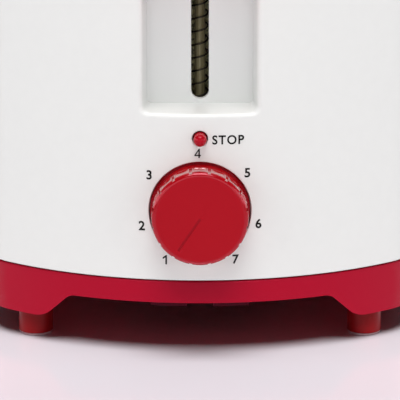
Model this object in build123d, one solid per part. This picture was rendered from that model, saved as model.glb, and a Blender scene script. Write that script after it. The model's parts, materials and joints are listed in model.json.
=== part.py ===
"""Two-slice pop-up toaster: a white oval shell on a red skirted base, with the controls in one bowed end.

Millimetres. +Z up. The control end faces -Y and the crumb tray pulls out towards +Y.
The origin is on the table under the middle of the whole toaster, lever and tray pull included.
Every dimension below is written about the middle of the shell, and YOFF moves the finished parts onto the origin.
"""
import math
import os

from build123d import *

# ---------------------------------------------------------------- driving dimensions
A, B = 130.0, 88.0          # half length and half width of the shell at its lower edge
RE, RC, RS = 123.0, 26.0, 900.0   # plan radii: bowed end, corner, side
Z_TOP = 188.0               # top of the shell
Z_SEAM = 28.95              # top edge of the red base
GAP = 0.5                   # reveal between base and shell
Z_HB = Z_SEAM + GAP         # lower edge of the shell
WALL = 2.5                  # shell wall
TAPER = 1.5                 # degrees the shell leans in
R_TOP = 18.0                # shoulder radius
Z_ARCH, Z_LOBE = 20.35, 10.15     # lower edge of the skirt between the feet, and at the feet
FLOOR0, FLOOR1 = 20.5, 22.5     # base floor
FOOT = (63.2, 100.4, 6.5)  # foot x, y, radius
SLOT_X, SLOT_W, SLOT_L = 23.0, 31.0, 150.0   # bread slots
TRAVEL = 50.0               # carriage travel
KNOB_Z, KNOB_R, HOLE_R = 56.4, 18.2, 19.25   # browning knob and its well
KNOB_F = -139.8             # front face of the knob
POINTER = -146.25           # pointer at rest, degrees clockwise from up
BTN_Z, BTN_R, BTN_HOLE = 84.6, 2.48, 2.95    # stop button
POCKET_W, POCKET_Z0, POCKET_Z1, POCKET_Y = 21.7, 94.0, 167.0, -114.5
ARM_Z = 153.0               # lever arm centre at rest
ROD_Y = -104.5              # carriage guide rod
PLATE = 84.0                # inner face of the end plates
GUARD_IN = 5.0              # how far each wire guard closes on the bread
YOFF = 4.5
OUT = "parts"


# ---------------------------------------------------------------- helpers
def box(x0, x1, y0, y1, z0, z1):
    return Pos((x0 + x1) / 2, (y0 + y1) / 2, (z0 + z1) / 2) * Box(x1 - x0, y1 - y0, z1 - z0)


def cyl_z(x, y, z0, z1, r):
    return Pos(x, y, (z0 + z1) / 2) * Cylinder(r, z1 - z0)


def cyl_y(x, z, y0, y1, r):
    return Pos(x, (y0 + y1) / 2, z) * Rot(90, 0, 0) * Cylinder(r, y1 - y0)


def xz_plane(y):
    """A plane facing -Y: local x is +X, local y is +Z."""
    return Plane(origin=(0, y, 0), x_dir=(1, 0, 0), z_dir=(0, -1, 0))


def rounded(b, r, axis=Axis.Z):
    return fillet(b.edges().filter_by(axis), r)


def corner_centre():
    cx, cy = B - RC, -A + RC
    for _ in range(80):
        cy = (-A + RE) - math.sqrt((RE - RC) ** 2 - cx ** 2)
        cx = (B - RS) + math.sqrt((RS - RC) ** 2 - cy ** 2)
    return cx, cy


CX, CY = corner_centre()


def plan(o, z):
    """The plan outline of the toaster as a face at height z, moved in by o: eight tangent arcs."""
    end, side, c = (0.0, -A + RE), (B - RS, 0.0), (CX, CY)

    def unit(p, q):
        d = math.hypot(q[0] - p[0], q[1] - p[1])
        return (q[0] - p[0]) / d, (q[1] - p[1]) / d

    u, v = unit(end, c), unit(side, c)
    p1 = (end[0] + u[0] * (RE - o), end[1] + u[1] * (RE - o))
    p2 = (side[0] + v[0] * (RS - o), side[1] + v[1] * (RS - o))
    n = math.hypot(u[0] + v[0], u[1] + v[1])
    m = (c[0] + (u[0] + v[0]) / n * (RC - o), c[1] + (u[1] + v[1]) / n * (RC - o))

    def q(p, sx, sy):
        return p[0] * sx, p[1] * sy

    e = [
        ThreePointArc(q(p1, -1, 1), (0, -A + o), p1),
        ThreePointArc(p1, m, p2),
        ThreePointArc(p2, (B - o, 0), q(p2, 1, -1)),
        ThreePointArc(q(p2, 1, -1), q(m, 1, -1), q(p1, 1, -1)),
        ThreePointArc(q(p1, 1, -1), (0, A - o), q(p1, -1, -1)),
        ThreePointArc(q(p1, -1, -1), q(m, -1, -1), q(p2, -1, -1)),
        ThreePointArc(q(p2, -1, -1), (-B + o, 0), q(p2, -1, 1)),
        ThreePointArc(q(p2, -1, 1), q(m, -1, 1), q(p1, -1, 1)),
    ]
    return Pos(0, 0, z) * Face(Wire(e))


def prism(o, z0, z1, taper=0.0):
    return extrude(plan(o, z0), amount=z1 - z0, taper=taper)


def ring(o0, o1, z0, z1):
    return prism(o0, z0, z1) - prism(o1, z0 - 1, z1 + 1)


def both(s):
    """s and its mirror across the YZ plane."""
    return s + mirror(s, Plane.YZ)


made = {}


def part(name, *solids):
    out = []
    for s in solids:
        out += list(s.solids())
    out = [Pos(0, YOFF, 0) * s for s in out]
    made[name] = out[0] if len(out) == 1 else Compound(children=out)


# ---------------------------------------------------------------- shell
outer = prism(0, Z_HB, Z_TOP, TAPER)
outer = fillet(outer.edges().group_by(Axis.Z)[-1], R_TOP)
solid_outer = outer
outer = fillet(outer.edges().group_by(Axis.Z)[0], 0.6)
inner = prism(WALL, Z_HB - 1, Z_TOP - WALL, TAPER)
inner = fillet(inner.edges().group_by(Axis.Z)[-1], R_TOP - WALL)
shell = outer - inner

# lever pocket: a box of walls behind the bowed face
pocket_box = rounded(box(-24.4, 24.4, -128.5, POCKET_Y + 2.2, POCKET_Z0 - 2.4, POCKET_Z1 + 2.4), 3.0, Axis.Y)
shell += pocket_box & outer
k = (132.0 - 114.5) / (128.2 - 114.5)
f_w, b_w = POCKET_W + 0.25, 19.9
front = xz_plane(-132.0) * Pos(0, (POCKET_Z0 - 0.1 + POCKET_Z1 + 0.3) / 2) * RectangleRounded(
    2 * (b_w + (f_w - b_w) * k), POCKET_Z1 - POCKET_Z0 + 0.9, 3.2)
back = xz_plane(POCKET_Y) * Pos(0, (POCKET_Z0 + 0.8 + POCKET_Z1 - 0.8) / 2) * RectangleRounded(
    2 * b_w, POCKET_Z1 - POCKET_Z0 - 1.6, 1.6)
cavity = loft([front, back])
shell -= cavity
rim = [e for e in shell.edges()
       if e.center().Y < -126.5 and abs(e.center().X) < 24 and 91 < e.center().Z < 168]
try:
    shell = fillet(rim, 1.9)
except Exception as err:
    print("pocket rim fillet failed", err)
slot_z0, slot_z1 = 96.4, 160.5
shell -= extrude(xz_plane(POCKET_Y - 1) * Pos(0, (slot_z0 + slot_z1) / 2) * SlotOverall(slot_z1 - slot_z0, 6.6, rotation=90),
                 amount=-5)

slot_rim = [e for e in shell.edges() if abs(e.center().Y - POCKET_Y) < 0.05 and abs(e.center().X) < 3.6 and 95 < e.center().Z < 161]
try:
    shell = fillet(slot_rim, 0.4)
except Exception as err:
    print("slot rim fillet failed", err)

# bread opening in the top, over the steel surround
opening = rounded(box(-49, 49, -82, 82, Z_TOP - 8, Z_TOP + 2), 10)
shell -= opening
top_rim = [e for e in shell.edges() if abs(e.center().Z - Z_TOP) < 0.02 and abs(e.center().X) < 50 and abs(e.center().Y) < 83]
shell = fillet(top_rim, 1.0)

# knob well and stop-button guide
well = (cyl_y(0, KNOB_Z, -129, -120.4, HOLE_R + 1.8) & outer) - cyl_y(0, KNOB_Z, -140, -122.2, HOLE_R)
shell -= cyl_y(0, KNOB_Z, -140, -123, HOLE_R)
shell += well
shell -= cyl_y(0, KNOB_Z, -140, -122.2, HOLE_R)
shell -= cyl_y(0, KNOB_Z, -125, -119, 5.0)
shell += cyl_y(0, BTN_Z, -128, -121, BTN_HOLE + 1.6) & outer
shell -= cyl_y(0, BTN_Z, -140, -118, BTN_HOLE)

for r, c, lim in ((HOLE_R, KNOB_Z, 0.35), (BTN_HOLE, BTN_Z, 0.3)):
    edges = [e for e in shell.edges() if e.center().Y < -127 and e.length > 2 * math.pi * r * 0.4
             and abs(e.center().X) < r and abs(e.center().Z - c) < r and e.bounding_box().size.Z < 2.1 * r]
    try:
        shell = fillet(edges, lim)
    except Exception as err:
        print("hole rim fillet failed", err)

# screw bosses, each tied to the wall by a rib
boss = Part()
for sx in (-1, 1):
    for sy in (-1, 1):
        b = cyl_z(76 * sx, 60 * sy, 31, 58, 4.5) + box(min(76 * sx, 84 * sx), max(76 * sx, 84 * sx), 60 * sy - 1, 60 * sy + 1, 33.2, 58)
        shell += b
        shell -= cyl_z(76 * sx, 60 * sy, 30, 51, 1.8)
# hole for the mains bushing
CORD_Z, CORD_R = 40.0, 3.7
shell -= cyl_y(0, CORD_Z, 120, 140, 5.25)
part("housing_shell", shell)

# ---------------------------------------------------------------- red base
bt = 2.0
dz = Z_SEAM - Z_LOBE
skirt = extrude(plan(0.5 + dz * math.tan(math.radians(bt)), Z_LOBE), amount=dz, taper=-bt)
skirt = chamfer(skirt.edges().group_by(Axis.Z)[-1], 0.4)


def below(half_top, reach, axis):
    """Everything under the skirt's lower edge, seen along one axis: high between the feet, low at them."""
    x0, x1 = half_top, half_top + (Z_ARCH - Z_LOBE)
    pts = [(-reach, -5), (-reach, Z_LOBE), (-x1, Z_LOBE), (-x0, Z_ARCH), (x0, Z_ARCH), (x1, Z_LOBE), (reach, Z_LOBE), (reach, -5)]
    plane = xz_plane(0) if axis == "Y" else Plane.YZ
    sk = make_face(Polyline(*pts, close=True))
    vs = sk.vertices()
    low = [v for v in vs if abs(v.Y - Z_LOBE) < 1e-6 and abs(abs(v.X) - x1) < 1e-6]
    sk = fillet(low, 9.0)
    high = [v for v in sk.vertices() if abs(v.Y - Z_ARCH) < 1e-6]
    sk = fillet(high, 5.0)
    return extrude(plane * sk, amount=200, both=True)


skirt -= below(49.6, 120, "Y")
skirt -= below(60.0, 160, "X")
base = skirt - prism(2.9, FLOOR1, Z_SEAM + 5) - prism(0.5 + 0.65 + 2.4, Z_LOBE - 2, FLOOR0)
base += ring(3.1, 4.7, FLOOR1 - 0.5, 32.5)              # lip inside the shell
base -= box(-46.5, 46.5, 100, 140, FLOOR1, 40)         # crumb-tray mouth
base += both(box(45.5, 46.5, -82, 100, FLOOR1 - 0.5, 27.2))    # tray rails
for sy in (-1, 1):
    for sx in (-1, 1):
        base += cyl_z(50.5 * sx, 92 * sy, FLOOR1 - 0.5, 30.2, 4.3)
        base -= cyl_z(50.5 * sx, 92 * sy, 23, 31, 1.5)
        base += cyl_z(76 * sx, 60 * sy, FLOOR0, 30.5, 5.6) & prism(1.5, FLOOR0 - 1, 31)
        base -= cyl_z(76 * sx, 60 * sy, 19, 31, 2.0)
        base -= cyl_z(76 * sx, 60 * sy, 19, 25.5, 4.1)
        base -= cyl_z(FOOT[0] * sx, FOOT[1] * sy, 19, 24, 2.55)
# board posts
for sx in (-1, 1):
    base += box(min(41 * sx, 47 * sx), max(41 * sx, 47 * sx), -114.4, -108, FLOOR1 - 0.5, 40)
    base -= box(min(40 * sx, 48 * sx), max(40 * sx, 48 * sx), -112.1, -110.3, 32.9, 41)
# vents beside the tray
for sx in (-1, 1):
    for i in range(-4, 5):
        v = Pos(56.5 * sx, 12.0 * i, (FLOOR0 + FLOOR1) / 2) * extrude(SlotOverall(15, 3.2), amount=3, both=True)
        base -= v
# cord-winding cleats under each end
for sy in (-1, 1):
    ey = sy * (A - RE)
    cl = cyl_z(0, ey, 12.8, FLOOR0 + 0.3, RE - 27.0) - cyl_z(0, ey, 11, 22, RE - 29.0)
    cl += cyl_z(0, ey, 11.7, 13.2, RE - 24.0) - cyl_z(0, ey, 10, 14, RE - 29.0)
    cl = cl & box(-19, 19, min(sy * 60, sy * 130), max(sy * 60, sy * 130), 10, 21)
    cl -= cyl_z(0, sy * (A - 24.0), 10, 14, 5.0)
    cl -= box(-5, 5, min(sy * 90, sy * 107.5), max(sy * 90, sy * 107.5), 10, 17)
    base += cl
part("base_pan", base)

# feet and pads
names = {(-1, -1): "foot_front_left", (1, -1): "foot_front_right", (-1, 1): "foot_rear_left", (1, 1): "foot_rear_right"}
pads = []
for (sx, sy), n in names.items():
    x, y = FOOT[0] * sx, FOOT[1] * sy
    f = cyl_z(x, y, 1.0, FLOOR0, FOOT[2])
    f = fillet(f.edges().group_by(Axis.Z)[0], 0.3)
    f += cyl_z(x, y, FLOOR0, 24.0, 2.5)
    f -= cyl_z(x, y, 0.5, 3.8, 3.05)
    part(n, f)
    p = cyl_z(x, y, 0, 1.0, 6.25)
    p = fillet(p.edges().group_by(Axis.Z)[0], 0.4)
    pads.append(p + cyl_z(x, y, 1.0, 3.6, 3.0))
part("foot_pads", *pads)

# ---------------------------------------------------------------- crumb tray
tray = rounded(box(-45, 45, -79, 121, 22.9, 27.3), 2.5) - rounded(box(-44.3, 44.3, -78.3, 120.3, 23.6, 28), 1.8)
part("crumb_tray", tray)
pull = prism(0.5, 22.9, 28.8) & box(-45.8, 45.8, 121, 135, 22.9, 28.8)
grip = (prism(-2.5, 23.4, 26.2) & box(-20, 20, 121.5, 135, 23.4, 26.2))
grip = fillet(grip.edges().filter_by(Axis.Z), 1.2)
pull += grip
part("crumb_tray_pull", pull)

# ---------------------------------------------------------------- chassis
T = 0.8


def end_plate(s):
    """Front plate for s=-1, rear plate for s=+1."""
    y0, y1 = sorted((s * PLATE, s * (PLATE + T)))
    f0, f1 = sorted((s * (PLATE + T), s * 96.0))
    p = box(-56, 56, y0, y1, 30.2, 184) + box(-56, 56, min(y0, f0), max(y1, f1), 30.2, 31.0)
    for sx in (-1, 1):
        p -= cyl_z(50.5 * sx, 92 * s, 29, 32, 1.7)
        w = 2.5 if s < 0 else 1.4
        p -= Pos(SLOT_X * sx, s * PLATE, 66) * box(-w, w, -3, 3, -33, 32)
        for gx in (8.5, 37.5):
            a, b = (gx, gx + GUARD_IN) if gx < SLOT_X else (gx - GUARD_IN, gx)
            a, b = a - 1.3, b + 1.3
            for gz in (52, 168):
                p -= box(min(a * sx, b * sx), max(a * sx, b * sx), s * PLATE - 3, s * PLATE + 3, gz - 1.3, gz + 1.3)
    return p


plate_f = end_plate(-1)
plate_f += box(-8, 8, -110, -90, 30.2, 31.0) + box(28, 48, -107.5, -90, 30.2, 31.0) + box(-48, -28, -107.5, -90, 30.2, 31.0)
plate_f += box(-8, 8, -110, -PLATE - 0.2, 175.0, 175.8)
plate_f -= cyl_z(0, ROD_Y, 29, 32, 2.05)
plate_f -= cyl_z(0, ROD_Y, 174, 177, 2.05)
part("chassis_front_plate", plate_f)
plate_r = end_plate(1)
for i in range(5):      # cooling louvres
    plate_r -= Pos(0, PLATE + 0.4, 80 + 16 * i) * box(-12, 12, -2, 2, -1.5, 1.5)
part("chassis_rear_plate", plate_r)
for n, sx in (("reflector_left", -1), ("reflector_right", 1)):
    p = box(50.5, 51.1, -83.9, 83.9, 31.2, 183.6) + box(50.5, 55.8, -83.9, 83.9, 183.0, 183.6) + box(50.5, 55.8, -83.9, 83.9, 31.2, 31.8)
    part(n, p if sx > 0 else mirror(p, Plane.YZ))

# steel surround with the two bread slots
top = rounded(box(-52, 52, -86, 86, 184.6, 185.4), 6)
for sx in (-1, 1):
    x = SLOT_X * sx
    top += rounded(box(x - 16.5, x + 16.5, -76, 76, 178.0, 187.2), 7)
for sx in (-1, 1):
    x = SLOT_X * sx
    top -= rounded(box(x - SLOT_W / 2, x + SLOT_W / 2, -SLOT_L / 2, SLOT_L / 2, 170, 190), 6)
lips = [e for e in top.edges() if abs(e.center().Z - 187.2) < 0.02]
try:
    top = fillet(lips, 0.45)
except Exception as err:
    print("slot lip fillet failed", err)
part("slot_surround", top)

# ---------------------------------------------------------------- heaters
CARD_Y = 76.0


def card(x):
    c = box(x - 0.25, x + 0.25, -CARD_Y, CARD_Y, 44, 162)
    c += box(x - 0.25, x + 0.25, -83.8, 83.8, 44, 56) + box(x - 0.25, x + 0.25, -83.8, 83.8, 150, 162)
    for z in TURNS:
        for s in (-1, 1):
            c -= box(x - 1, x + 1, min(s * (CARD_Y - 1.2), s * (CARD_Y + 1)), max(s * (CARD_Y - 1.2), s * (CARD_Y + 1)), z - 0.9, z + 0.9)
    return c


TURNS = [64 + 10.0 * i for i in range(9)]


def ribbon(x, face):
    """Resistance ribbon wound round a card: level runs on the bread side, sloping runs behind."""
    t, w = 0.25, 0.7
    a = x + face * 0.3
    front0, front1 = sorted((a, a + face * t))
    b = x - face * 0.3
    back0, back1 = sorted((b, b - face * t))
    e0, e1 = min(front0, back0), max(front1, back1)
    r = None
    ye = CARD_Y - 0.85
    for i, z in enumerate(TURNS):
        s = box(front0, front1, -ye, ye, z - w, z + w)
        s += box(e0, e1, ye - t, ye, z - w, z + w)
        if i + 1 < len(TURNS):
            z2 = TURNS[i + 1]
            s += box(e0, e1, -ye, -ye + t, z2 - w, z2 + w)
            sk = Plane(origin=(back0, 0, 0), x_dir=(0, 1, 0), z_dir=(1, 0, 0)) * make_face(
                Polyline((ye, z - w), (ye, z + w), (-ye, z2 + w), (-ye, z2 - w), close=True))
            s += extrude(sk, amount=t)
        r = s if r is None else r + s
    return r


for n, x, face in (("left", -43.0, 1), ("centre_left", -3.5, -1), ("centre_right", 3.5, 1), ("right", 43.0, -1)):
    part("mica_card_" + n, card(x))
    part("heater_ribbon_" + n, ribbon(x, face))

# ---------------------------------------------------------------- bread guards
for n, x in (("bread_guard_left_outer", -37.5), ("bread_guard_left_inner", -8.5), ("bread_guard_right_inner", 8.5), ("bread_guard_right_outer", 37.5)):
    g = cyl_y(x, 52, -87, 87, 0.9) + cyl_y(x, 168, -87, 87, 0.9)
    for i in range(-5, 6):
        g += cyl_z(x, 14.0 * i, 52, 168, 0.75)
    part(n, g)

# ---------------------------------------------------------------- carriage
RACK_TOP = 92.0
for n, sx in (("bread_rack_left", -1), ("bread_rack_right", 1)):
    x = SLOT_X * sx
    r = box(x - 0.5, x + 0.5, -97, 86.5, RACK_TOP - 7, RACK_TOP - 1.5)
    for i in range(-6, 7):
        r += box(x - 7.5, x + 7.5, 11.0 * i - 0.5, 11.0 * i + 0.5, RACK_TOP - 5, RACK_TOP)
    part(n, r)

br = box(-27, 27, -98.2, -97, 84, 166)
br += both(box(27, 46, -98.2, -97, 112.3, 119))
br += box(31, 45, -106.5, -98.2, 112.3, 113.5)       # shelf for the armature
br += box(-45, -31, -106.5, -98.2, 112.3, 113.5)     # shelf that closes the contacts
br = fillet([e for e in br.edges().filter_by(Axis.Y) if abs(e.center().Z - 166) < 0.1], 4)
part("carriage_bracket", br)
sl = rounded(box(-8, 8, -110, -98.2, 140, 165), 2.0) - cyl_z(0, ROD_Y, 130, 170, 2.1)
part("carriage_slider", sl)
arm = box(-1, 1, -131, -110, ARM_Z - 4, ARM_Z + 4)
part("lever_arm", arm)
h = box(-18, 18, -141.5, -119.5, ARM_Z - 7.5, ARM_Z + 7.5)
h = fillet(h.edges().filter_by(Axis.Y), 5.0)
h = fillet(h.edges().group_by(Axis.Y)[0], 3.5)
h = fillet(h.edges().group_by(Axis.Y)[-1], 1.5)
# finger scoop in the upper face
h -= Pos(0, -132.5, ARM_Z + 7.5 + 29.2) * Rot(0, 90, 0) * Cylinder(30.0, 26.0)
h -= box(-1, 1, -131, -110, ARM_Z - 4, ARM_Z + 4)
part("lever_handle", h)
part("armature_plate", rounded(box(31.5, 44.5, -106.8, -98.6, 110.3, 112.3), 1.0))

# guide rod, its clips and the carriage spring
rod = cyl_z(0, ROD_Y, 28.4, 178, 2.0)
part("guide_rod", chamfer(rod.edges(), 0.4))
part("rod_clips", *[cyl_z(0, ROD_Y, z, z + 0.8, 4.0) - cyl_z(0, ROD_Y, z - 1, z + 2, 2.02) - box(-1.2, 1.2, ROD_Y, ROD_Y + 6, z - 1, z + 2)
                    for z in (175.8, 29.4)])
S0, S1 = 31.5, 139.5
turns = 22
pitch = (S1 - S0) / turns
hel = Helix(pitch=pitch, height=S1 - S0, radius=2.95)
prof = Plane(origin=hel @ 0, z_dir=hel % 0) * Circle(0.4)
spring = Pos(0, ROD_Y, S0) * sweep(prof, path=hel)
part("carriage_spring", spring)

# electromagnet
part("magnet_core", box(31, 46, -107.4, -97.2, 31.0, 34.0) + cyl_z(38, -102.3, 34, 60, 3.0))
bob = cyl_z(38, -102.3, 34.2, 35.4, 5.0) + cyl_z(38, -102.3, 57.4, 58.6, 5.0) + cyl_z(38, -102.3, 34.2, 58.6, 3.8) - cyl_z(38, -102.3, 30, 62, 3.1)
part("magnet_bobbin", bob)
part("magnet_winding", cyl_z(38, -102.3, 35.5, 57.3, 4.9) - cyl_z(38, -102.3, 30, 62, 3.85))

# mains contacts, closed by the carriage at the bottom
part("contact_block", rounded(box(-46, -30, -107.3, -97.3, 31.0, 40), 1.0) - box(-44.5, -43.9, -105, -99, 35, 41) - box(-32.1, -31.5, -105, -99, 35, 41))
part("contact_leaves", box(-44.5, -43.9, -105, -99, 35.2, 61.5) + box(-44.5, -39, -105, -99, 60.9, 61.5),
     box(-32.1, -31.5, -105, -99, 35.2, 58.5) + box(-42.5, -31.5, -105, -99, 57.9, 58.5))

# ---------------------------------------------------------------- control board and controls
board = box(-48, 48, -112, -110.4, 33, 89)
board -= cyl_y(0, KNOB_Z, -113, -110, 1.2)
part("control_board", board)
pot = cyl_y(0, KNOB_Z, -119.4, -112, 8.0) - cyl_y(0, KNOB_Z, -125, -113, 3.06)
part("potentiometer_body", pot)
shaft = cyl_y(0, KNOB_Z, -133.4, -113.2, 3.0)
shaft -= box(-5, 5, -140, -124, KNOB_Z + 2.2, KNOB_Z + 6)
part("potentiometer_shaft", shaft)

knob = cyl_y(0, KNOB_Z, KNOB_F, -123.2, KNOB_R)
knob = fillet(knob.edges().group_by(Axis.Y)[0], 1.7)
knob += cyl_y(0, KNOB_Z, -126.4, -123.6, KNOB_R + 0.7)     # flange that fills the well
knob -= cyl_y(0, KNOB_Z, KNOB_F + 2.4, -120, KNOB_R - 2.4)
knob += cyl_y(0, KNOB_Z, KNOB_F + 2.3, -124.2, 5.2)
bore = cyl_y(0, KNOB_Z, -133.6, -120, 3.02) - box(-5, 5, -140, -119, KNOB_Z + 2.22, KNOB_Z + 6)
knob -= bore
centre = Pos(0, 0, KNOB_Z)
cuts = None
for i in range(16):
    a = POINTER + 22.5 * i
    g = Rot(0, a, 0) * (box(-0.6, 0.6, KNOB_F - 1, -133.2, KNOB_R - 0.55, KNOB_R + 2))
    f = Rot(0, a + 11.25, 0) * (box(-2.5, 2.5, KNOB_F + 1.9, -133.2, KNOB_R * math.cos(math.radians(7.9)) - 0.12, KNOB_R + 2))
    cuts = g + f if cuts is None else cuts + g + f
knob -= centre * cuts
line = Rot(0, POINTER, 0) * box(-0.45, 0.45, KNOB_F - 1, KNOB_F + 0.4, 0.0, 14.6)
knob -= centre * line
part("browning_knob", knob)

btn = cyl_y(0, BTN_Z, -130.6, -118.4, BTN_R) + (Pos(0, -130.6, BTN_Z) * Sphere(BTN_R))
btn += cyl_y(0, BTN_Z, -120.9, -119.9, 4.2)
part("stop_button", btn)
switch = rounded(box(-2.25, 2.25, -115.2, -112, BTN_Z - 2.25, BTN_Z + 2.25), 0.5, Axis.Y) + cyl_y(0, BTN_Z, -116.8, -115.2, 1.2)
part("stop_switch", switch)
hel2 = Helix(pitch=1.45, height=7.25, radius=3.7)
spr2 = Pos(0, -112.3, BTN_Z) * Rot(90, 0, 0) * sweep(Plane(origin=hel2 @ 0, z_dir=hel2 % 0) * Circle(0.22), path=hel2)
part("stop_spring", spr2)
part("board_components",
     rounded(box(20, 34, -119.5, -112, 62, 78), 0.8, Axis.Y),
     cyl_y(-28, 70, -121, -112, 4.0),
     cyl_y(-38, 58, -118, -112, 2.6),
     rounded(box(24, 36, -116, -112, 42, 49), 0.5, Axis.Y),
     box(-40, -27, -114.4, -112, 42, 46))

# ---------------------------------------------------------------- mains side
bush = cyl_y(0, CORD_Z, 128.5, 131.9, 7.2)
bush = fillet(bush.edges().group_by(Axis.Y)[-1], 0.8) - outer
bush += cyl_y(0, CORD_Z, 125.1, 131.0, 5.15) + cyl_y(0, CORD_Z, 125.1, 126.6, 6.6)
bush -= cyl_y(0, CORD_Z, 120, 135, CORD_R)
part("cord_bushing", bush)
tb = rounded(box(-14, 14, 85.4, 95.6, 31.0, 46), 1.0)
for x in (-7, 7):
    tb -= cyl_y(x, 37, 90, 96, 2.2)
    tb -= cyl_z(x, 90.5, 42, 47, 2.0)
part("terminal_block", tb)
for n, s in (("lead_live", -1), ("lead_neutral", 1)):
    pts = [(14 * s, 90.5, 42), (62 * s, 90.5, 42), (62 * s, -96, 42), (46 * s, -96, 44), (46 * s, -110.4, 44)]
    path = FilletPolyline(*pts, radius=6.0)
    lead = sweep(Plane(origin=path @ 0, z_dir=path % 0) * Circle(1.2), path=path)
    part(n, lead)

# ---------------------------------------------------------------- fasteners
scr = []
for sx in (-1, 1):
    for sy in (-1, 1):
        s = cyl_z(76 * sx, 60 * sy, 23.1, 25.5, 3.8)
        s = fillet(s.edges().group_by(Axis.Z)[0], 0.8)
        s += cyl_z(76 * sx, 60 * sy, 25.5, 46, 1.75)
        s -= box(76 * sx - 2.2, 76 * sx + 2.2, 60 * sy - 0.35, 60 * sy + 0.35, 22, 24.4)
        s -= box(76 * sx - 0.35, 76 * sx + 0.35, 60 * sy - 2.2, 60 * sy + 2.2, 22, 24.4)
        scr.append(s)
part("base_screws", *scr)
scr = []
for sx in (-1, 1):
    for sy in (-1, 1):
        s = cyl_z(50.5 * sx, 92 * sy, 31.0, 32.8, 2.8)
        s = fillet(s.edges().group_by(Axis.Z)[-1], 0.6)
        s += cyl_z(50.5 * sx, 92 * sy, 24, 31.0, 1.45)
        s -= box(50.5 * sx - 1.8, 50.5 * sx + 1.8, 92 * sy - 0.3, 92 * sy + 0.3, 32.0, 34)
        scr.append(s)
part("chassis_screws", *scr)

# ---------------------------------------------------------------- write
os.makedirs(OUT, exist_ok=True)
for f in os.listdir(OUT):
    if f.endswith(".step"):
        os.remove(os.path.join(OUT, f))
lo, hi = [1e9] * 3, [-1e9] * 3
for n, s in made.items():
    export_step(s, os.path.join(OUT, n + ".step"))
    bb = s.bounding_box()
    lo = [min(a, b) for a, b in zip(lo, tuple(bb.min))]
    hi = [max(a, b) for a, b in zip(hi, tuple(bb.max))]
print(len(made), "nodes; overall", [round(v, 2) for v in lo], [round(v, 2) for v in hi])
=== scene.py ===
import json
import math

import bmesh
import bpy
from mathutils import Matrix, Vector

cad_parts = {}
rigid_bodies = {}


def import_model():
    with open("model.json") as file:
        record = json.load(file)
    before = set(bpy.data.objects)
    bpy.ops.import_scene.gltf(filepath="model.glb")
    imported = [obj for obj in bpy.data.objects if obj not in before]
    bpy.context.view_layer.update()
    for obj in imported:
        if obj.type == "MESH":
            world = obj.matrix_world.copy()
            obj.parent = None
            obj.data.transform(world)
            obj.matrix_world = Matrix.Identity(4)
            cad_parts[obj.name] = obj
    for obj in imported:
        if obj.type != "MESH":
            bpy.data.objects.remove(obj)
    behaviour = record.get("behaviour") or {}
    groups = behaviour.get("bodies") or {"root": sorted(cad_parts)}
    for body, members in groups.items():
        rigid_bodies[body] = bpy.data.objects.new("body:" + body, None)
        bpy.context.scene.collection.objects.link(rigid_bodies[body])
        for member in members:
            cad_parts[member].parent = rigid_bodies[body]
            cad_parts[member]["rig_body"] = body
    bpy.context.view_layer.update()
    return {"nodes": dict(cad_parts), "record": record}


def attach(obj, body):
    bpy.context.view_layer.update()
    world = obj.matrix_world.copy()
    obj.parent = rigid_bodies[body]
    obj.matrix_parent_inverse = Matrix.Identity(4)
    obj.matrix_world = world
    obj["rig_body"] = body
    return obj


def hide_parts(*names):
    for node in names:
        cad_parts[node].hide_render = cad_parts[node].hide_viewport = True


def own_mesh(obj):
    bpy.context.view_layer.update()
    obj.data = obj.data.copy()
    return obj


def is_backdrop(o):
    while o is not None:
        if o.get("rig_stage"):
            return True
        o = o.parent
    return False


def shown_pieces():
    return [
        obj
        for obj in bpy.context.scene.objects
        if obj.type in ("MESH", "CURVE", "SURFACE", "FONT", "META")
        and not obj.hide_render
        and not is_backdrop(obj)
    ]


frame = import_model()
nodes = frame["nodes"]

# ------------------------------------------------------------------ dimensions shared with the CAD, in metres
YOFF = 0.0045
A, RE = 0.130, 0.123
Z_HB = 0.02945
TAN = math.tan(math.radians(1.5))
KNOB_Z = 0.0564
BTN_Z = 0.0846
ROD_Y = -0.1045 + YOFF


def face_y(x, z):
    """The bowed front face of the shell at (x, z)."""
    r = RE - (z - Z_HB) * TAN
    return -A + RE - math.sqrt(r * r - x * x) + YOFF


# ------------------------------------------------------------------ materials
def srgb(r, g, b):
    def lin(c):
        c /= 255.0
        return c / 12.92 if c <= 0.04045 else ((c + 0.055) / 1.055) ** 2.4
    return (lin(r), lin(g), lin(b), 1.0)


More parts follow.
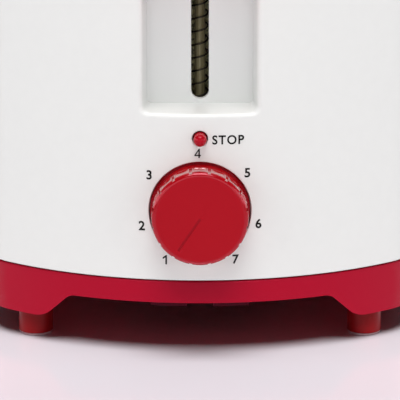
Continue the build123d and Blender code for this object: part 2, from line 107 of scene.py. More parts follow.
class M:
    """A small node-tree builder."""

    def __init__(self, name):
        self.m = bpy.data.materials.new(name)
        self.m.use_nodes = True
        self.t = self.m.node_tree
        self.t.nodes.clear()
        self.out = self.n("ShaderNodeOutputMaterial")
        self.p = self.n("ShaderNodeBsdfPrincipled")
        self.t.links.new(self.p.outputs[0], self.out.inputs[0])
        self.co = self.n("ShaderNodeTexCoord").outputs["Object"]

    def n(self, kind, **kw):
        n = self.t.nodes.new(kind)
        for k, v in kw.items():
            setattr(n, k, v)
        return n

    def link(self, a, b):
        self.t.links.new(a, b)

    def set(self, **kw):
        for k, v in kw.items():
            self.p.inputs[k.replace("_", " ")].default_value = v
        return self

    def scaled(self, sx, sy, sz):
        n = self.n("ShaderNodeMapping")
        n.inputs["Scale"].default_value = (sx, sy, sz)
        self.link(self.co, n.inputs["Vector"])
        return n.outputs[0]

    def noise(self, scale, detail=3.0, rough=0.5, co=None):
        n = self.n("ShaderNodeTexNoise")
        n.inputs["Scale"].default_value = scale
        n.inputs["Detail"].default_value = detail
        n.inputs["Roughness"].default_value = rough
        self.link(co or self.co, n.inputs["Vector"])
        return n.outputs["Fac"]

    def voronoi(self, scale, feature="F1", co=None):
        n = self.n("ShaderNodeTexVoronoi", feature=feature)
        n.inputs["Scale"].default_value = scale
        self.link(co or self.co, n.inputs["Vector"])
        return n

    def ramp(self, fac, stops):
        n = self.n("ShaderNodeValToRGB")
        e = n.color_ramp.elements
        while len(e) > 2:
            e.remove(e[-1])
        for i, (pos, col) in enumerate(stops):
            el = e[i] if i < 2 else e.new(pos)
            el.position = pos
            el.color = col if len(col) == 4 else (*col, 1.0)
        self.link(fac, n.inputs["Fac"])
        return n.outputs["Color"]

    def rng(self, fac, lo, hi, a=0.3, b=0.7):
        n = self.n("ShaderNodeMapRange")
        n.inputs["From Min"].default_value = a
        n.inputs["From Max"].default_value = b
        n.inputs["To Min"].default_value = lo
        n.inputs["To Max"].default_value = hi
        self.link(fac, n.inputs["Value"])
        return n.outputs["Result"]

    def color(self, sock):
        self.link(sock, self.p.inputs["Base Color"])
        return self

    def rough(self, sock):
        self.link(sock, self.p.inputs["Roughness"])
        return self

    def bump(self, layers, bevel=0.0):
        """layers: (height socket, strength, distance)."""
        last = None
        if bevel:
            b = self.n("ShaderNodeBevel", samples=6)
            b.inputs["Radius"].default_value = bevel
            last = b.outputs[0]
        for h, strength, dist in layers:
            n = self.n("ShaderNodeBump")
            n.inputs["Strength"].default_value = strength
            n.inputs["Distance"].default_value = dist
            self.link(h, n.inputs["Height"])
            if last is not None:
                self.link(last, n.inputs["Normal"])
            last = n.outputs[0]
        if last is not None:
            self.link(last, self.p.inputs["Normal"])
        return self


def plastic(name, rgb, rough=0.3, vary=0.03, grain=0.05, bevel=0.0003, coat=0.0, sss=0.0, grain_scale=2600.0, spec=0.5, tint=None):
    """Moulded plastic: a faint cloudiness, uneven gloss, a fine moulded skin and soft edges."""
    m = M(name)
    c = srgb(*rgb)
    lo = tuple(v * (1 - vary) for v in c[:3])
    hi = tuple(min(1.0, v * (1 + vary)) for v in c[:3])
    cloud = m.noise(18.0, 4.0, 0.55)
    m.color(m.ramp(cloud, [(0.3, lo), (0.7, hi)]))
    m.rough(m.rng(m.noise(55.0, 3.0, 0.5), rough * 0.9, rough * 1.1, 0.0, 1.0))
    m.set(Coat_Weight=coat, Coat_Roughness=0.08)
    m.p.inputs["Specular IOR Level"].default_value = spec
    if tint:
        m.p.inputs["Specular Tint"].default_value = (*tint, 1.0)
    if sss:
        m.p.inputs["Subsurface Weight"].default_value = sss
        m.p.inputs["Subsurface Radius"].default_value = (0.004, 0.003, 0.003)
        m.p.inputs["Subsurface Scale"].default_value = 0.3
    m.bump([(m.noise(grain_scale, 2.0, 0.5), grain, 0.00004)], bevel)
    return m.m


def metal(name, rgb, rough=0.3, vary=0.06, brush=None, bevel=0.0002, spangle=0.0, metallic=1.0):
    """Sheet or wire: brush is the direction of the grain, spangle the strength of zinc crystals."""
    m = M(name)
    c = srgb(*rgb)
    m.set(Metallic=metallic)
    co = m.co
    if brush == "y":
        co = m.scaled(1, 0.02, 1)
    elif brush == "x":
        co = m.scaled(0.02, 1, 1)
    elif brush == "z":
        co = m.scaled(1, 1, 0.02)
    fine = m.noise(1500.0 if brush else 260.0, 3.0, 0.6, co)
    lo = tuple(v * (1 - vary) for v in c[:3])
    hi = tuple(min(1.0, v * (1 + vary)) for v in c[:3])
    if spangle:
        v = m.voronoi(150.0)
        cell = m.n("ShaderNodeSeparateColor")
        m.link(v.outputs["Color"], cell.inputs[0])
        big = m.n("ShaderNodeMix", data_type="FLOAT")
        big.inputs["Factor"].default_value = 0.45
        m.link(cell.outputs[0], big.inputs[2])
        m.link(m.noise(420.0, 4.0, 0.7), big.inputs[3])
        fac = big.outputs[0]
        lo = tuple(x * (1 - spangle) for x in c[:3])
        hi = tuple(min(1.0, x * (1 + spangle)) for x in c[:3])
        m.color(m.ramp(fac, [(0.2, lo), (0.8, hi)]))
        m.rough(m.rng(fac, rough * 0.8, rough * 1.3, 0.2, 0.8))
        m.bump([(fac, 0.12, 0.0001)], bevel)
    else:
        m.color(m.ramp(fine, [(0.3, lo), (0.7, hi)]))
        m.rough(m.rng(fine, rough * 0.75, rough * 1.3))
        m.bump([(fine, 0.08 if brush else 0.03, 0.00005)], bevel)
    return m.m


def white_shell():
    m = M("white_moulded_shell")
    white = m.ramp(m.noise(260.0, 3.0, 0.5), [(0.2, srgb(231, 232, 229)), (0.8, srgb(233, 234, 231))])
    # painted shade: the back of the recess behind the lever is mixed to a darker grey, as if it lay in shade
    xyz = m.n("ShaderNodeSeparateXYZ")
    m.link(m.co, xyz.inputs[0])
    ax = m.n("ShaderNodeMath", operation="ABSOLUTE")
    m.link(xyz.outputs["X"], ax.inputs[0])
    parts = [m.rng(ax.outputs[0], 1.0, 0.0, 0.0212, 0.0240), m.rng(xyz.outputs["Z"], 0.0, 1.0, 0.0920, 0.0950),
             m.rng(xyz.outputs["Y"], 0.0, 1.0, -0.1200, -0.1105), m.rng(xyz.outputs["Y"], 1.0, 0.0, -0.1090, -0.1080),
             m.rng(xyz.outputs["Z"], 1.0, 0.0, 0.1650, 0.1680)]
    t = parts[0]
    for other in parts[1:]:
        mul = m.n("ShaderNodeMath", operation="MULTIPLY")
        m.link(t, mul.inputs[0])
        m.link(other, mul.inputs[1])
        t = mul.outputs[0]
    mix = m.n("ShaderNodeMix", data_type="RGBA")
    m.link(t, mix.inputs["Factor"])
    m.link(white, mix.inputs[6])
    # painted shade: the grey the shaded back of the recess is mixed to
    mix.inputs[7].default_value = srgb(219, 221, 219)
    m.color(mix.outputs[2])
    m.rough(m.rng(m.noise(90.0, 2.0, 0.5), 0.27, 0.31, 0.0, 1.0))
    m.set(Coat_Weight=0.2, Coat_Roughness=0.12)
    m.bump([(m.noise(900.0, 2.0, 0.5), 0.012, 0.00003)], 0.0)
    return m.m


RED = (176, 14, 30)
mats = {
    "white_shell": white_shell(),
    "red_plastic": plastic("red_moulded", (172, 10, 36), 0.2, 0.05, 0.04, 0.0, spec=0.5, tint=(1.0, 0.2, 0.36)),
    "red_knob": plastic("red_knob", (166, 6, 17), 0.08, 0.03, 0.015, 0.0, spec=0.65, tint=(1.0, 0.25, 0.36)),
    "brushed_trim": metal("brushed_trim", (206, 206, 204), 0.34, 0.04, brush="y", bevel=0.0002, metallic=0.72),
    "tray_zinc": metal("tray_zinc", (170, 171, 172), 0.42, 0.1, spangle=0.07, metallic=0.6),
    "galvanised_steel": metal("galvanised_sheet", (176, 172, 154), 0.45, 0.1, spangle=0.09, metallic=0.6),
    "bright_sheet": metal("bright_reflector", (214, 214, 212), 0.26, 0.04, brush="z", metallic=0.85),
    "bright_steel": metal("plated_steel", (206, 206, 204), 0.2, 0.04, bevel=0.0),
    "zinc_rod": metal("zinc_rod", (170, 164, 138), 0.34, 0.12, brush="z", bevel=0.0),
    "spring_steel": metal("spring_wire", (74, 68, 60), 0.42, 0.15, bevel=0.0),
    "copper_winding": metal("copper_winding", (178, 96, 52), 0.35, 0.1, bevel=0.0),
    "contact_brass": metal("contact_brass", (196, 162, 84), 0.28, 0.06),
    "dark_moulding": plastic("dark_moulding", (28, 28, 29), 0.5, 0.1, 0.1, 0.0002),
    "pale_moulding": plastic("natural_nylon", (226, 222, 208), 0.45, 0.03, 0.05, 0.0002, sss=0.1),
    "black_rubber": plastic("black_rubber", (20, 20, 20), 0.62, 0.12, 0.2, 0.0004),
    "brown_insulation": plastic("brown_insulation", (92, 50, 26), 0.48, 0.08, 0.06, 0.0),
    "blue_insulation": plastic("blue_insulation", (30, 84, 168), 0.48, 0.08, 0.06, 0.0),
}


def soft_pad():
    m = M("soft_pad")
    m.color(m.ramp(m.noise(300.0, 3.0), [(0.3, srgb(196, 150, 158)), (0.7, srgb(214, 176, 182))]))
    m.rough(m.rng(m.noise(900.0, 3.0), 0.4, 0.55))
    m.p.inputs["Transmission Weight"].default_value = 0.35
    m.p.inputs["Subsurface Weight"].default_value = 0.4
    m.p.inputs["Subsurface Radius"].default_value = (0.003, 0.002, 0.002)
    m.p.inputs["Subsurface Scale"].default_value = 0.5
    m.bump([(m.noise(1400.0, 2.0), 0.08, 0.0001)], 0.0003)
    return m.m


def mica():
    m = M("pressed_mica")
    flake = m.voronoi(420.0)
    sep = m.n("ShaderNodeSeparateColor")
    m.link(flake.outputs["Color"], sep.inputs[0])
    mix = m.n("ShaderNodeMix", data_type="FLOAT")
    mix.inputs["Factor"].default_value = 0.5
    m.link(sep.outputs[0], mix.inputs[2])
    m.link(m.noise(60.0, 5.0, 0.6), mix.inputs[3])
    m.color(m.ramp(mix.outputs[0], [(0.2, srgb(150, 128, 92)), (0.55, srgb(184, 164, 124)), (0.85, srgb(214, 200, 166))]))
    m.rough(m.rng(sep.outputs[0], 0.22, 0.5, 0, 1))
    m.set(Coat_Weight=0.15, Coat_Roughness=0.2)
    m.bump([(mix.outputs[0], 0.2, 0.0001)], 0.0)
    return m.m


def ribbon():
    m = M("resistance_ribbon")
    f = m.noise(120.0, 4.0, 0.6)
    m.set(Metallic=1.0)
    m.color(m.ramp(f, [(0.3, srgb(96, 84, 78)), (0.6, srgb(140, 128, 120)), (0.75, srgb(120, 98, 96))]))
    m.rough(m.rng(f, 0.32, 0.55))
    return m.m


def dull_zinc(name, rgb, metallic):
    """Passivated sheet: crystals of light and dark zinc under a dull olive film."""
    m = M(name)
    c = srgb(*rgb)
    v = m.voronoi(1100.0)
    cell = m.n("ShaderNodeSeparateColor")
    m.link(v.outputs["Color"], cell.inputs[0])
    big = m.n("ShaderNodeMix", data_type="FLOAT")
    big.inputs["Factor"].default_value = 0.4
    m.link(cell.outputs[0], big.inputs[2])
    m.link(m.noise(1900.0, 4.0, 0.7), big.inputs[3])
    fac = big.outputs[0]
    m.color(m.ramp(fac, [(0.2, tuple(x * 0.35 for x in c[:3])), (0.55, tuple(x * 0.8 for x in c[:3])), (0.85, c)]))
    m.rough(m.rng(fac, 0.4, 0.62, 0.2, 0.8))
    m.set(Metallic=metallic)
    m.bump([(fac, 0.15, 0.0001)], 0.0002)
    return m.m


def streaked_rod():
    """Drawn zinc-plated rod streaked light and dark along its length: die lines, and bright streaks painted as a
    stand-in for its reflections.
    """
    m = M("zinc_rod_drawn")
    f = m.noise(1500.0, 4.0, 0.65, m.scaled(1, 1, 0.004))
    # painted reflection in part: the light stops of this ramp stand in for the rod's reflection lines
    m.color(m.ramp(f, [(0.34, srgb(84, 76, 50)), (0.46, srgb(160, 150, 112)), (0.56, srgb(112, 102, 70)), (0.66, srgb(222, 214, 180))]))
    m.rough(m.rng(f, 0.42, 0.6))
    m.set(Metallic=0.25)
    m.bump([(f, 0.25, 0.00008)], 0.0)
    return m.m


def board():
    m = M("circuit_board")
    n = m.voronoi(90.0, "DISTANCE_TO_EDGE")
    fibre = m.noise(700.0, 3.0, 0.6, m.scaled(1, 1, 0.2))
    m.color(m.ramp(fibre, [(0.3, srgb(150, 112, 58)), (0.7, srgb(176, 136, 78))]))
    m.rough(m.rng(fibre, 0.4, 0.55))
    m.bump([(n.outputs["Distance"], 0.05, 0.0001), (fibre, 0.05, 0.00005)], 0.0)
    return m.m




def base_red():
    """The base moulding: satin, with painted shade: coloured a deeper red where it turns under the body."""
    m = M("red_base_moulding")
    cloud = m.noise(18.0, 3.0, 0.5)
    red = m.ramp(cloud, [(0.2, srgb(172, 10, 37)), (0.8, srgb(175, 11, 38))])
    xyz = m.n("ShaderNodeSeparateXYZ")
    m.link(m.co, xyz.inputs[0])
    far = m.n("ShaderNodeMath", operation="ABSOLUTE")
    m.link(xyz.outputs["Y"], far.inputs[0])
    inside = m.rng(far.outputs[0], 1.0, 0.0, 0.108, 0.114)
    low = m.rng(xyz.outputs["Z"], 1.0, 0.0, 0.0190, 0.0215)
    side = m.n("ShaderNodeMath", operation="ABSOLUTE")
    m.link(xyz.outputs["X"], side.inputs[0])
    mid = m.rng(side.outputs[0], 1.0, 0.0, 0.032, 0.036)
    inner = m.n("ShaderNodeMath", operation="MULTIPLY")
    m.link(inside, inner.inputs[0])
    m.link(mid, inner.inputs[1])
    inside = inner.outputs[0]
    both = m.n("ShaderNodeMath", operation="MULTIPLY")
    m.link(inside, both.inputs[0])
    m.link(low, both.inputs[1])
    # painted shade: inside the skirt and low down, the red is mixed to a dark red (74, 8, 14)
    mix = m.n("ShaderNodeMix", data_type="RGBA")
    m.link(both.outputs[0], mix.inputs["Factor"])
    m.link(red, mix.inputs[6])
    mix.inputs[7].default_value = srgb(74, 8, 14)
    m.color(mix.outputs[2])
    m.rough(m.rng(m.noise(60.0, 3.0, 0.5), 0.19, 0.23, 0.0, 1.0))
    m.p.inputs["Specular IOR Level"].default_value = 0.5
    m.p.inputs["Specular Tint"].default_value = (1.0, 0.2, 0.36, 1.0)
    m.bump([(m.noise(1500.0, 2.0, 0.5), 0.02, 0.00004)], 0.0)
    return m.m


mats["red_base"] = base_red()
mats["soft_pad"] = soft_pad()
mats["mica"] = mica()
mats["resistance_ribbon"] = ribbon()
mats["circuit_board"] = board()
mats["red_knob_edge"] = plastic("red_knob_edge", (166, 6, 17), 0.12, 0.03, 0.01, 0.0, coat=1.0, spec=0.5, tint=(1.0, 0.4, 0.5))
mats["red_knob_round"] = plastic("red_knob_round", (164, 6, 18), 0.1, 0.03, 0.01, 0.0, spec=1.0, tint=(1.0, 0.36, 0.46))
mats["red_knob_edge"].node_tree.nodes["Principled BSDF"].inputs["Coat IOR"].default_value = 1.75
# painted shade in part: the feet are a browner red than the base, and also coloured darker as they stand in shade
mats["red_foot"] = plastic("red_foot", (140, 14, 20), 0.3, 0.04, 0.04, 0.0, spec=0.4, tint=(1.0, 0.4, 0.4))
mats["zinc_bracket"] = dull_zinc("zinc_bracket", (246, 240, 190), 0.05)
mats["zinc_rod"] = streaked_rod()
mats["red_button"] = plastic("red_button", (168, 8, 26), 0.2, 0.03, 0.02, 0.0, spec=0.5, tint=(1.0, 0.3, 0.4))

slot_of = {s["node"]: s["material_slot"] for s in frame["record"]["subparts"]}
special = {"crumb_tray": "tray_zinc", "guide_rod": "zinc_rod", "browning_knob": "red_knob", "stop_button": "red_button", "lever_handle": "red_knob",
           "foot_front_left": "red_foot", "foot_front_right": "red_foot", "foot_rear_left": "red_foot", "foot_rear_right": "red_foot",
           "carriage_bracket": "zinc_bracket", "base_pan": "red_base"}
for name, o in nodes.items():
    o.data.materials.clear()
    o.data.materials.append(mats[special.get(name, slot_of[name])])

# ------------------------------------------------------------------ helpers for new pieces
COLL = bpy.context.scene.collection


def obj(name, mesh, body, mat=None):
    o = bpy.data.objects.new(name, mesh)
    COLL.objects.link(o)
    if mat is not None:
        o.data.materials.append(mat)
    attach(o, body)
    return o


def tube(points, r, sides=12, cap=True):
    """A round wire through points, as a closed mesh."""
    bm = bmesh.new()
    rings = []
    n = len(points)
    up = None
    for i, p in enumerate(points):
        t = (points[min(i + 1, n - 1)] - points[max(i - 1, 0)]).normalized()
        if up is None:
            up = Vector((0, 0, 1)) if abs(t.z) < 0.9 else Vector((1, 0, 0))
        side = t.cross(up).normalized()
        up = side.cross(t).normalized()
        rings.append([bm.verts.new(p + (side * math.cos(a) + up * math.sin(a)) * r)
                      for a in (2 * math.pi * k / sides for k in range(sides))])
    for a, b in zip(rings, rings[1:]):
        for k in range(sides):
            bm.faces.new((a[k], a[(k + 1) % sides], b[(k + 1) % sides], b[k]))
    if cap:
        bm.faces.new(list(reversed(rings[0])))
        bm.faces.new(rings[-1])
    bmesh.ops.recalc_face_normals(bm, faces=bm.faces)
    me = bpy.data.meshes.new("tube")
    bm.to_mesh(me)
    bm.free()
    for p in me.polygons:
        p.use_smooth = len(p.vertices) == 4
    return me


def spring_points(centre, axis, length, radius, wire, turns, dead, steps=28, phase=0.0):
    """Right-handed compression spring with closed ends, exactly length long."""
    total = turns + 2 * dead
    count = int(round(total * steps))
    rise = []
    for i in range(count):
        a = (i + 0.5) / steps
        near = min(a - dead, total - dead - a)
        k = min(1.0, max(0.0, near / 0.4))
        rise.append((1 - k) * 1.0 + k * -1.0)
    flat = wire * 2.06          # rise per turn in the closed coils
    fixed = sum((1 + w) / 2 * flat / steps for w in rise)
    open_w = sum((1 - w) / 2 / steps for w in rise)
    live = (length - 2 * wire - fixed) / open_w
    q = axis.normalized().to_track_quat("Z", "Y").to_matrix()
    z, pts = wire, []
    for i in range(count + 1):
        a = 2 * math.pi * i / steps + phase
        pts.append(centre + q @ Vector((radius * math.cos(a), radius * math.sin(a), z)))
        if i < count:
            w = rise[i]
            z += ((1 + w) / 2 * flat + (1 - w) / 2 * live) / steps
    return pts


def smooth_copy(node, name, mat=None, sharp=33.0, weld=2e-6):
    """The CAD node's own shape with its facets' shading joined across faces that run smoothly together."""
    me = nodes[node].data.copy()
    if "custom_normal" in me.attributes:
        me.attributes.remove(me.attributes["custom_normal"])
    bm = bmesh.new()
    bm.from_mesh(me)
    bmesh.ops.remove_doubles(bm, verts=bm.verts, dist=weld)
    bmesh.ops.dissolve_degenerate(bm, dist=1e-7, edges=bm.edges)
    lim = math.radians(sharp)
    for f in bm.faces:
        f.smooth = True
    for e in bm.edges:
        e.smooth = len(e.link_faces) == 2 and e.calc_face_angle(0.0) < lim
    bm.to_mesh(me)
    bm.free()
    o = obj(name, me, nodes[node]["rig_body"], None)
    o.data.materials.clear()
    o.data.materials.append(mat or mats[special.get(node, slot_of[node])])
    n = o.modifiers.new("normals", "WEIGHTED_NORMAL")
    n.mode = "FACE_AREA_WITH_ANGLE"
    n.keep_sharp = True
    n.weight = 60
    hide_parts(node)
    return o


for node in ("housing_shell", "base_pan", "slot_surround", "lever_handle", "crumb_tray_pull", "cord_bushing", "crumb_tray",
             "guide_rod", "foot_front_left", "foot_front_right", "foot_rear_left", "foot_rear_right", "foot_pads"):
    smooth_copy(node, node + "_skin")

def lathe(profile, angles, radius_at, place):
    """Closed solid of revolution: profile is (distance along the axis, radius) from pole to pole."""
    bm = bmesh.new()
    rows = []
    for t, r in profile:
        if r < 1e-9:
            rows.append([bm.verts.new(place(t, 0.0, 0.0))])
        else:
            rows.append([bm.verts.new(place(t, radius_at(t, r, a), a)) for a in angles])
    n = len(angles)
    for a, b in zip(rows, rows[1:]):
        for k in range(n):
            j = (k + 1) % n
            if len(a) == 1:
                bm.faces.new((a[0], b[j], b[k]))
            elif len(b) == 1:
                bm.faces.new((a[k], a[j], b[0]))
            else:
                bm.faces.new((a[k], a[j], b[j], b[k]))
    bmesh.ops.recalc_face_normals(bm, faces=bm.faces)
    me = bpy.data.meshes.new("lathe")
    bm.to_mesh(me)
    bm.free()
    return me


def arc(c0, c1, r, a0, a1, n):
    return [(c0 + r * math.cos(math.radians(a0 + (a1 - a0) * i / n)), c1 + r * math.sin(math.radians(a0 + (a1 - a0) * i / n)))
            for i in range(n + 1)]


def shade(me, sharp=33.0, drop=0.0):
    bm = bmesh.new()
    bm.from_mesh(me)
    if drop:
        bmesh.ops.remove_doubles(bm, verts=bm.verts, dist=drop)
    for f in bm.faces:
        f.smooth = True
    for e in bm.edges:
        e.smooth = len(e.link_faces) == 2 and e.calc_face_angle(0.0) < math.radians(sharp)
    bm.to_mesh(me)
    bm.free()
    return me


def carved(me, cutters):
    """me less the boxes given, each a (matrix) of a unit cube."""
    base = bpy.data.objects.new("base", me)
    COLL.objects.link(base)
    made = [base]
    for mtx in cutters:
        bm = bmesh.new()
        bmesh.ops.create_cube(bm, size=1.0, matrix=mtx)
        cm = bpy.data.meshes.new("cut")
        bm.to_mesh(cm)
        bm.free()
        c = bpy.data.objects.new("cut", cm)
        COLL.objects.link(c)
        made.append(c)
        b = base.modifiers.new("cut", "BOOLEAN")
        b.operation, b.solver, b.object = "DIFFERENCE", "EXACT", c
    out = bpy.data.meshes.new_from_object(base.evaluated_get(bpy.context.evaluated_depsgraph_get()))
    for o in made:
        bpy.data.objects.remove(o)
    return out


def turned(name, node, me, mat, sharp=33.0):
    shade(me, sharp)
    me.materials.clear()
    o = obj(name, me, nodes[node]["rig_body"], mat)
    n = o.modifiers.new("normals", "WEIGHTED_NORMAL")
    n.keep_sharp = True
    n.weight = 70
    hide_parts(node)
    return o


# browning knob: rounded front edge, sixteen gripping flats with a groove between each, back flange, engraved pointer
KF, KR, POINTER = -0.1398 + YOFF, 0.0182, -146.25
FLAT = 0.0182 * math.cos(math.radians(7.9)) - 0.00012


def knob_radius(t, r, a):
    if r < 0.0168 or t > -0.1266 + YOFF or t < KF - 1e-6:
        return r
    off = (math.degrees(a) - POINTER + 11.25) % 22.5 - 11.25          # from the nearest groove
    if t < -0.13325 + YOFF and abs(math.radians(off)) * KR < 0.0006:
        return min(r, KR - 0.00055)
    mid = 11.25 - abs(off)
    if KF + 0.00185 < t < -0.13325 + YOFF and math.radians(mid) * KR < 0.00251:
        return min(r, FLAT / math.cos(math.radians(mid)))
    return r


angles = []
for i in range(16):
    for d in (-1.98, -1.84, -0.9, 0.0, 0.9, 1.84, 1.98, 2.7, 3.3, 3.42, 4.4, 5.6, 6.9, 8.2, 9.7, 11.25, 12.8, 14.3, 15.6, 16.9, 18.1, 19.08, 19.2, 19.8):
        angles.append(math.radians(POINTER + 22.5 * i + d))
prof = [(KF, 0.0), (KF, 0.006), (KF, 0.012), (KF, 0.0155), (KF, 0.0162)]
prof += [(KF + 0.0017 - 0.0017 * math.cos(x), 0.0165 + 0.0017 * math.sin(x)) for x in (math.radians(90 * i / 14) for i in range(15))]
prof += [(KF + 0.0018, KR), (KF + 0.0019, KR), (KF + 0.003, KR), (KF + 0.0045, KR), (-0.1334 + YOFF, KR), (-0.1332 + YOFF, KR), (-0.131 + YOFF, KR),
         (-0.1285 + YOFF, KR), (-0.1266 + YOFF, KR), (-0.1264 + YOFF, KR), (-0.1264 + YOFF, 0.0187), (-0.1262 + YOFF, 0.0189),
         (-0.1238 + YOFF, 0.0189), (-0.1236 + YOFF, 0.0187), (-0.1236 + YOFF, KR), (-0.1232 + YOFF, KR - 0.0002), (-0.1232 + YOFF, 0.0160),
         (-0.1234 + YOFF, 0.0158), (KF + 0.0026, 0.0158), (KF + 0.0024, 0.0156), (KF + 0.0024, 0.0052), (-0.1242 + YOFF, 0.0052),
         (-0.1242 + YOFF, 0.00302), (-0.1336 + YOFF, 0.00302), (-0.1336 + YOFF, 0.0)]
me = lathe(prof, angles, knob_radius, lambda t, r, a: Vector((r * math.sin(a), t, KNOB_Z + r * math.cos(a))))
turn = Matrix.Translation((0, 0, KNOB_Z)) @ Matrix.Rotation(math.radians(POINTER), 4, "Y")
me = carved(me, [turn @ Matrix.Translation((0, KF, 0.0073)) @ Matrix.Diagonal((0.00085, 0.0008, 0.0146, 1.0))])
knob = turned("browning_knob_turned", "browning_knob", me, mats["red_knob"], 28.0)
knob.data.materials.append(mats["red_knob_edge"])
knob.data.materials.append(mats["red_knob_round"])
for f in knob.data.polygons:
    away = math.hypot(f.center.x, f.center.z - KNOB_Z)
    if away > 0.01655 and f.center.y < -0.1330 + YOFF:
        f.material_index = 1 if f.center.y > KF + 0.0016 else 2

# stop button: domed tip, collar behind the shell
BY = YOFF
prof = [(-0.1306 + BY - 0.00248 * math.cos(x), 0.00248 * math.sin(x)) for x in (math.radians(90 * i / 16) for i in range(17))]
prof += [(-0.1209 + BY, 0.00248), (-0.1209 + BY, 0.0041), (-0.1208 + BY, 0.0042), (-0.1200 + BY, 0.0042), (-0.1199 + BY, 0.0041),
         (-0.1199 + BY, 0.00248), (-0.1185 + BY, 0.00248), (-0.1184 + BY, 0.00238), (-0.1184 + BY, 0.0)]
me = lathe(prof, [2 * math.pi * k / 56 for k in range(56)], lambda t, r, a: r,
           lambda t, r, a: Vector((r * math.sin(a), t, BTN_Z + r * math.cos(a))))
turned("stop_button_turned", "stop_button", me, mats["red_button"], 35.0)

# carriage spring: built at its rest length around the guide rod; the real one compresses onto its lower end as the
# lever goes down
S0, S1 = 0.0315, 0.1395
pts = spring_points(Vector((0, ROD_Y, S0)), Vector((0, 0, 1)), S1 - S0, 0.00295, 0.00036, 21, 1.5, phase=math.radians(92))
sp = obj("carriage_spring_coil", tube(pts, 0.00036, 10), "body", mats["spring_steel"])
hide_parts("carriage_spring")
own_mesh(sp)

pts = spring_points(Vector((0, -0.1123 + YOFF, BTN_Z)), Vector((0, -1, 0)), 0.00725, 0.0037, 0.00022, 3, 1.0)
sb = obj("stop_spring_coil", tube(pts, 0.00022, 8), "body", mats["spring_steel"])
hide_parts("stop_spring")
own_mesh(sb)


# ------------------------------------------------------------------ printed marks on the shell
def ink():
    m = M("printed_ink")
    m.color(m.ramp(m.noise(2600.0, 2.0), [(0.3, srgb(12, 10, 8)), (0.7, srgb(18, 15, 12))]))
    m.rough(m.rng(m.noise(1800.0, 2.0), 0.5, 0.65))
    m.p.inputs["Specular IOR Level"].default_value = 0.15
    return m.m


INK = ink()


def text_outline(body_text, height, spacing=1.0, thin=0.0, squeeze=1.0):
    """Flat text as (vertices, faces), centred, capitals height tall."""
    c = bpy.data.curves.new("t", "FONT")
    c.body = body_text
    c.align_x, c.align_y = "CENTER", "CENTER"
    c.space_character = spacing
    c.resolution_u = 10
    c.fill_mode = "FRONT"
    c.offset = thin
    o = bpy.data.objects.new("t", c)
    COLL.objects.link(o)
    dg = bpy.context.evaluated_depsgraph_get()
    me = bpy.data.meshes.new_from_object(o.evaluated_get(dg))
    bpy.data.objects.remove(o)
    xs = [v.co.x for v in me.vertices]
    ys = [v.co.y for v in me.vertices]
    s = height / (max(ys) - min(ys))
    mx, my = (max(xs) + min(xs)) / 2, (max(ys) + min(ys)) / 2
    v = [((p.co.x - mx) * s * squeeze, (p.co.y - my) * s) for p in me.vertices]
    f = [tuple(p.vertices) for p in me.polygons]
    bpy.data.meshes.remove(me)
    return v, f


def four_outline(height):
    """An open 4 with an even stroke, its counter left clear, as (vertices, faces), centred."""
    v = [(0.0, 0.21), (0.41, 0.21), (0.41, 0.0), (0.56, 0.0), (0.56, 0.21), (0.67, 0.21), (0.67, 0.335), (0.56, 0.335),
         (0.56, 1.0), (0.45, 1.0), (0.0, 0.335), (0.155, 0.335), (0.41, 0.335), (0.41, 0.74)]
    f = [(0, 1, 12, 11, 10), (2, 3, 4, 1), (1, 4, 7, 12), (4, 5, 6, 7), (12, 7, 8, 9, 13), (10, 11, 13, 9)]
    return [((x - 0.335) * height, (y - 0.5) * height) for x, y in v], f


def print_on_face(name, items):
    """items: (vertices, faces, x, z). One mesh of ink 0.05 mm proud of the shell, with its own sides."""
    bm = bmesh.new()
    for verts, faces, x0, z0 in items:
        flat = bmesh.new()
        vs = [flat.verts.new((x, 0, z)) for x, z in verts]
        for f in faces:
            try:
                flat.faces.new([vs[i] for i in f])
            except ValueError:
                pass
        bmesh.ops.remove_doubles(flat, verts=flat.verts, dist=1e-7)
        bmesh.ops.triangulate(flat, faces=flat.faces)
        r = bmesh.ops.extrude_face_region(flat, geom=flat.faces[:])
        top = [g for g in r["geom"] if isinstance(g, bmesh.types.BMVert)]
        for v in top:
            v.co.y = -0.0001
        bmesh.ops.recalc_face_normals(flat, faces=flat.faces)
        m2 = bpy.data.meshes.new("m")
        for v in flat.verts:
            proud = -0.00005 if v.co.y < -0.00005 else 0.00006
            x, z = v.co.x + x0, v.co.z + z0
            v.co = Vector((x, face_y(x, z) + proud, z))
        flat.to_mesh(m2)
        flat.free()
        bm.from_mesh(m2)
        bpy.data.meshes.remove(m2)
    me = bpy.data.meshes.new(name)
    bm.to_mesh(me)
    bm.free()
    return obj(name, me, "body", INK)


ONE = ([(0.0001, -0.0018), (0.0001, 0.00085), (-0.0009, 0.00025), (-0.0009, 0.00085), (0.0003, 0.0018), (0.0007, 0.0018), (0.0007, -0.0018)],
       [(0, 1, 5, 6), (1, 2, 3), (1, 3, 4), (1, 4, 5)])


def on_dial(angle, radius):
    a = math.radians(angle)
    return radius * math.sin(a), KNOB_Z + radius * math.cos(a)


marks = []
for digit, ang, radius in (("1", -145.1, 0.0230), ("2", -105.2, 0.0227), ("3", -54.0, 0.0236), ("4", -2.2, 0.0226),
                           ("5", 50.3, 0.0231), ("6", 103.2, 0.0226), ("7", 144.3, 0.0230)):
    v, f = ONE if digit == "1" else four_outline(0.0036) if digit == "4" else text_outline(digit, 0.0036, thin=0.022)
    marks.append((v, f, *on_dial(ang, radius)))
print_on_face("dial_numerals", marks)
v, f = text_outline("STOP", 0.00355, spacing=1.16, thin=0.020)
w = max(p[0] for p in v) - min(p[0] for p in v)
print_on_face("stop_legend", [([(x * 0.0119 / w, z) for x, z in v], f, 0.01055, BTN_Z - 0.0005)])


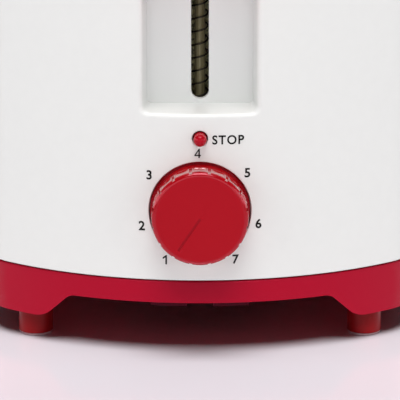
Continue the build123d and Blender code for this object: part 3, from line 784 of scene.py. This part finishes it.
# ------------------------------------------------------------------ stage
def floor():
    me = bpy.data.meshes.new("floor")
    bm = bmesh.new()
    bmesh.ops.create_grid(bm, x_segments=1, y_segments=1, size=9.0)
    bm.to_mesh(me)
    bm.free()
    o = bpy.data.objects.new("floor", me)
    COLL.objects.link(o)
    m = M("floor_surface")
    m.color(m.ramp(m.noise(1.2, 2.0), [(0.2, srgb(234, 229, 236)), (0.8, srgb(236, 231, 238))]))
    m.set(Roughness=0.1, IOR=1.62)
    o.data.materials.append(m.m)
    o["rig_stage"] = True
    return o


floor()


def area(name, loc, target, size_x, size_y, power, color=(1, 1, 1)):
    l = bpy.data.lights.new(name, "AREA")
    l.shape = "RECTANGLE"
    l.size, l.size_y = size_x, size_y
    l.energy = power
    l.color = color
    o = bpy.data.objects.new(name, l)
    COLL.objects.link(o)
    o.location = loc
    d = Vector(target) - Vector(loc)
    o.rotation_mode = "QUATERNION"
    o.rotation_quaternion = d.to_track_quat("-Z", "Y")
    o.visible_camera = False
    return o


def sun(name, elevation, azimuth, strength, spread):
    l = bpy.data.lights.new(name, "SUN")
    l.energy = strength
    l.angle = math.radians(spread)
    o = bpy.data.objects.new(name, l)
    COLL.objects.link(o)
    e, az = math.radians(elevation), math.radians(azimuth)
    o.rotation_mode = "QUATERNION"
    o.rotation_quaternion = Vector((math.sin(az) * math.cos(e), -math.cos(az) * math.cos(e), math.sin(e))).to_track_quat("Z", "Y")
    return o


key_top = sun("key_overhead", 74.0, 0.0, 1.5, 34.0)
key_low = sun("key_on_floor", 74.0, 0.0, 1.85, 34.0)
fill_l = area("front_left_softbox", (-1.90, -1.30, 0.62), (0, -0.05, 0.09), 1.1, 1.0, 9.2)
fill_r = area("front_right_softbox", (1.90, -1.30, 0.62), (0, -0.05, 0.09), 1.1, 1.0, 9.2)
fill = area("front_fill", (0.0, -2.2, 0.45), (0, 0, 0.09), 3.0, 0.9, 11.3)
key_f = area("key_front", (0.0, -0.95, 1.6), (0, -0.08, 0.05), 1.2, 0.8, 8.2)
side_l = area("left_fill", (-2.2, 0.3, 0.45), (0, 0, 0.09), 1.6, 0.9, 11)
side_r = area("right_fill", (2.2, 0.3, 0.45), (0, 0, 0.09), 1.6, 0.9, 11)
back_f = area("back_fill", (0.0, 2.2, 0.45), (0, 0, 0.09), 2.0, 0.9, 15)
low = area("skirt_fill", (0.0, -1.5, 1.8), (0, 0, 0.03), 2.2, 0.8, 29.5)

w = bpy.data.worlds.new("world")
bpy.context.scene.world = w
w.use_nodes = True
bg = w.node_tree.nodes["Background"]
bg.inputs["Color"].default_value = (0.93, 0.92, 0.95, 1)
bg.inputs["Strength"].default_value = 0.07

bpy.context.scene.view_settings.view_transform = "Standard"
bpy.context.scene.view_settings.look = "None"

# ------------------------------------------------------------------ camera
ELEV, DIST = math.radians(16.2), 1.6
cam = bpy.data.cameras.new("camera")
cam.sensor_width = 36.0
cam.lens = 36.0 * DIST / 0.150
cam.clip_start, cam.clip_end = 0.05, 30.0
co = bpy.data.objects.new("camera", cam)
COLL.objects.link(co)
target = Vector((0.0, -0.130 + YOFF, 0.0612))
back = Vector((0, -math.cos(ELEV), math.sin(ELEV)))
co.location = target + back * DIST
co.rotation_mode = "QUATERNION"
co.rotation_quaternion = (-back).to_track_quat("-Z", "Y")
bpy.context.scene.camera = co

# the fills light the toaster only, so the floor keeps its own shadow, and what hangs under it gets only the high ones
UNDER = ("base_pan", "foot_", "base_screws", "crumb_tray", "cord_cleat")
upper = bpy.data.collections.new("upper_pieces")
under = bpy.data.collections.new("under_pieces")
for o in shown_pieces():
    (under if o.name.startswith(UNDER) else upper).objects.link(o)
for l in (fill_l, fill_r, fill):
    l.light_linking.receiver_collection = upper
key_f.light_linking.receiver_collection = upper
# the high lights pass the small lever handle, so the pocket under it stays evenly lit
block = bpy.data.collections.new("blocks_high_lights")
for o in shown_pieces():
    if not o.name.startswith(("lever_handle", "lever_arm")):
        block.objects.link(o)
for l in (key_top, key_f):
    l.light_linking.blocker_collection = block
low.light_linking.receiver_collection = under
ground = bpy.data.collections.new("floor_and_under_pieces")
for o in list(under.objects) + [o for o in bpy.data.objects if o.name == "floor"]:
    ground.objects.link(o)
key_low.light_linking.receiver_collection = ground
both = bpy.data.collections.new("all_pieces")
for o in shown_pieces():
    both.objects.link(o)
for l in (side_l, side_r, back_f):
    l.light_linking.receiver_collection = both
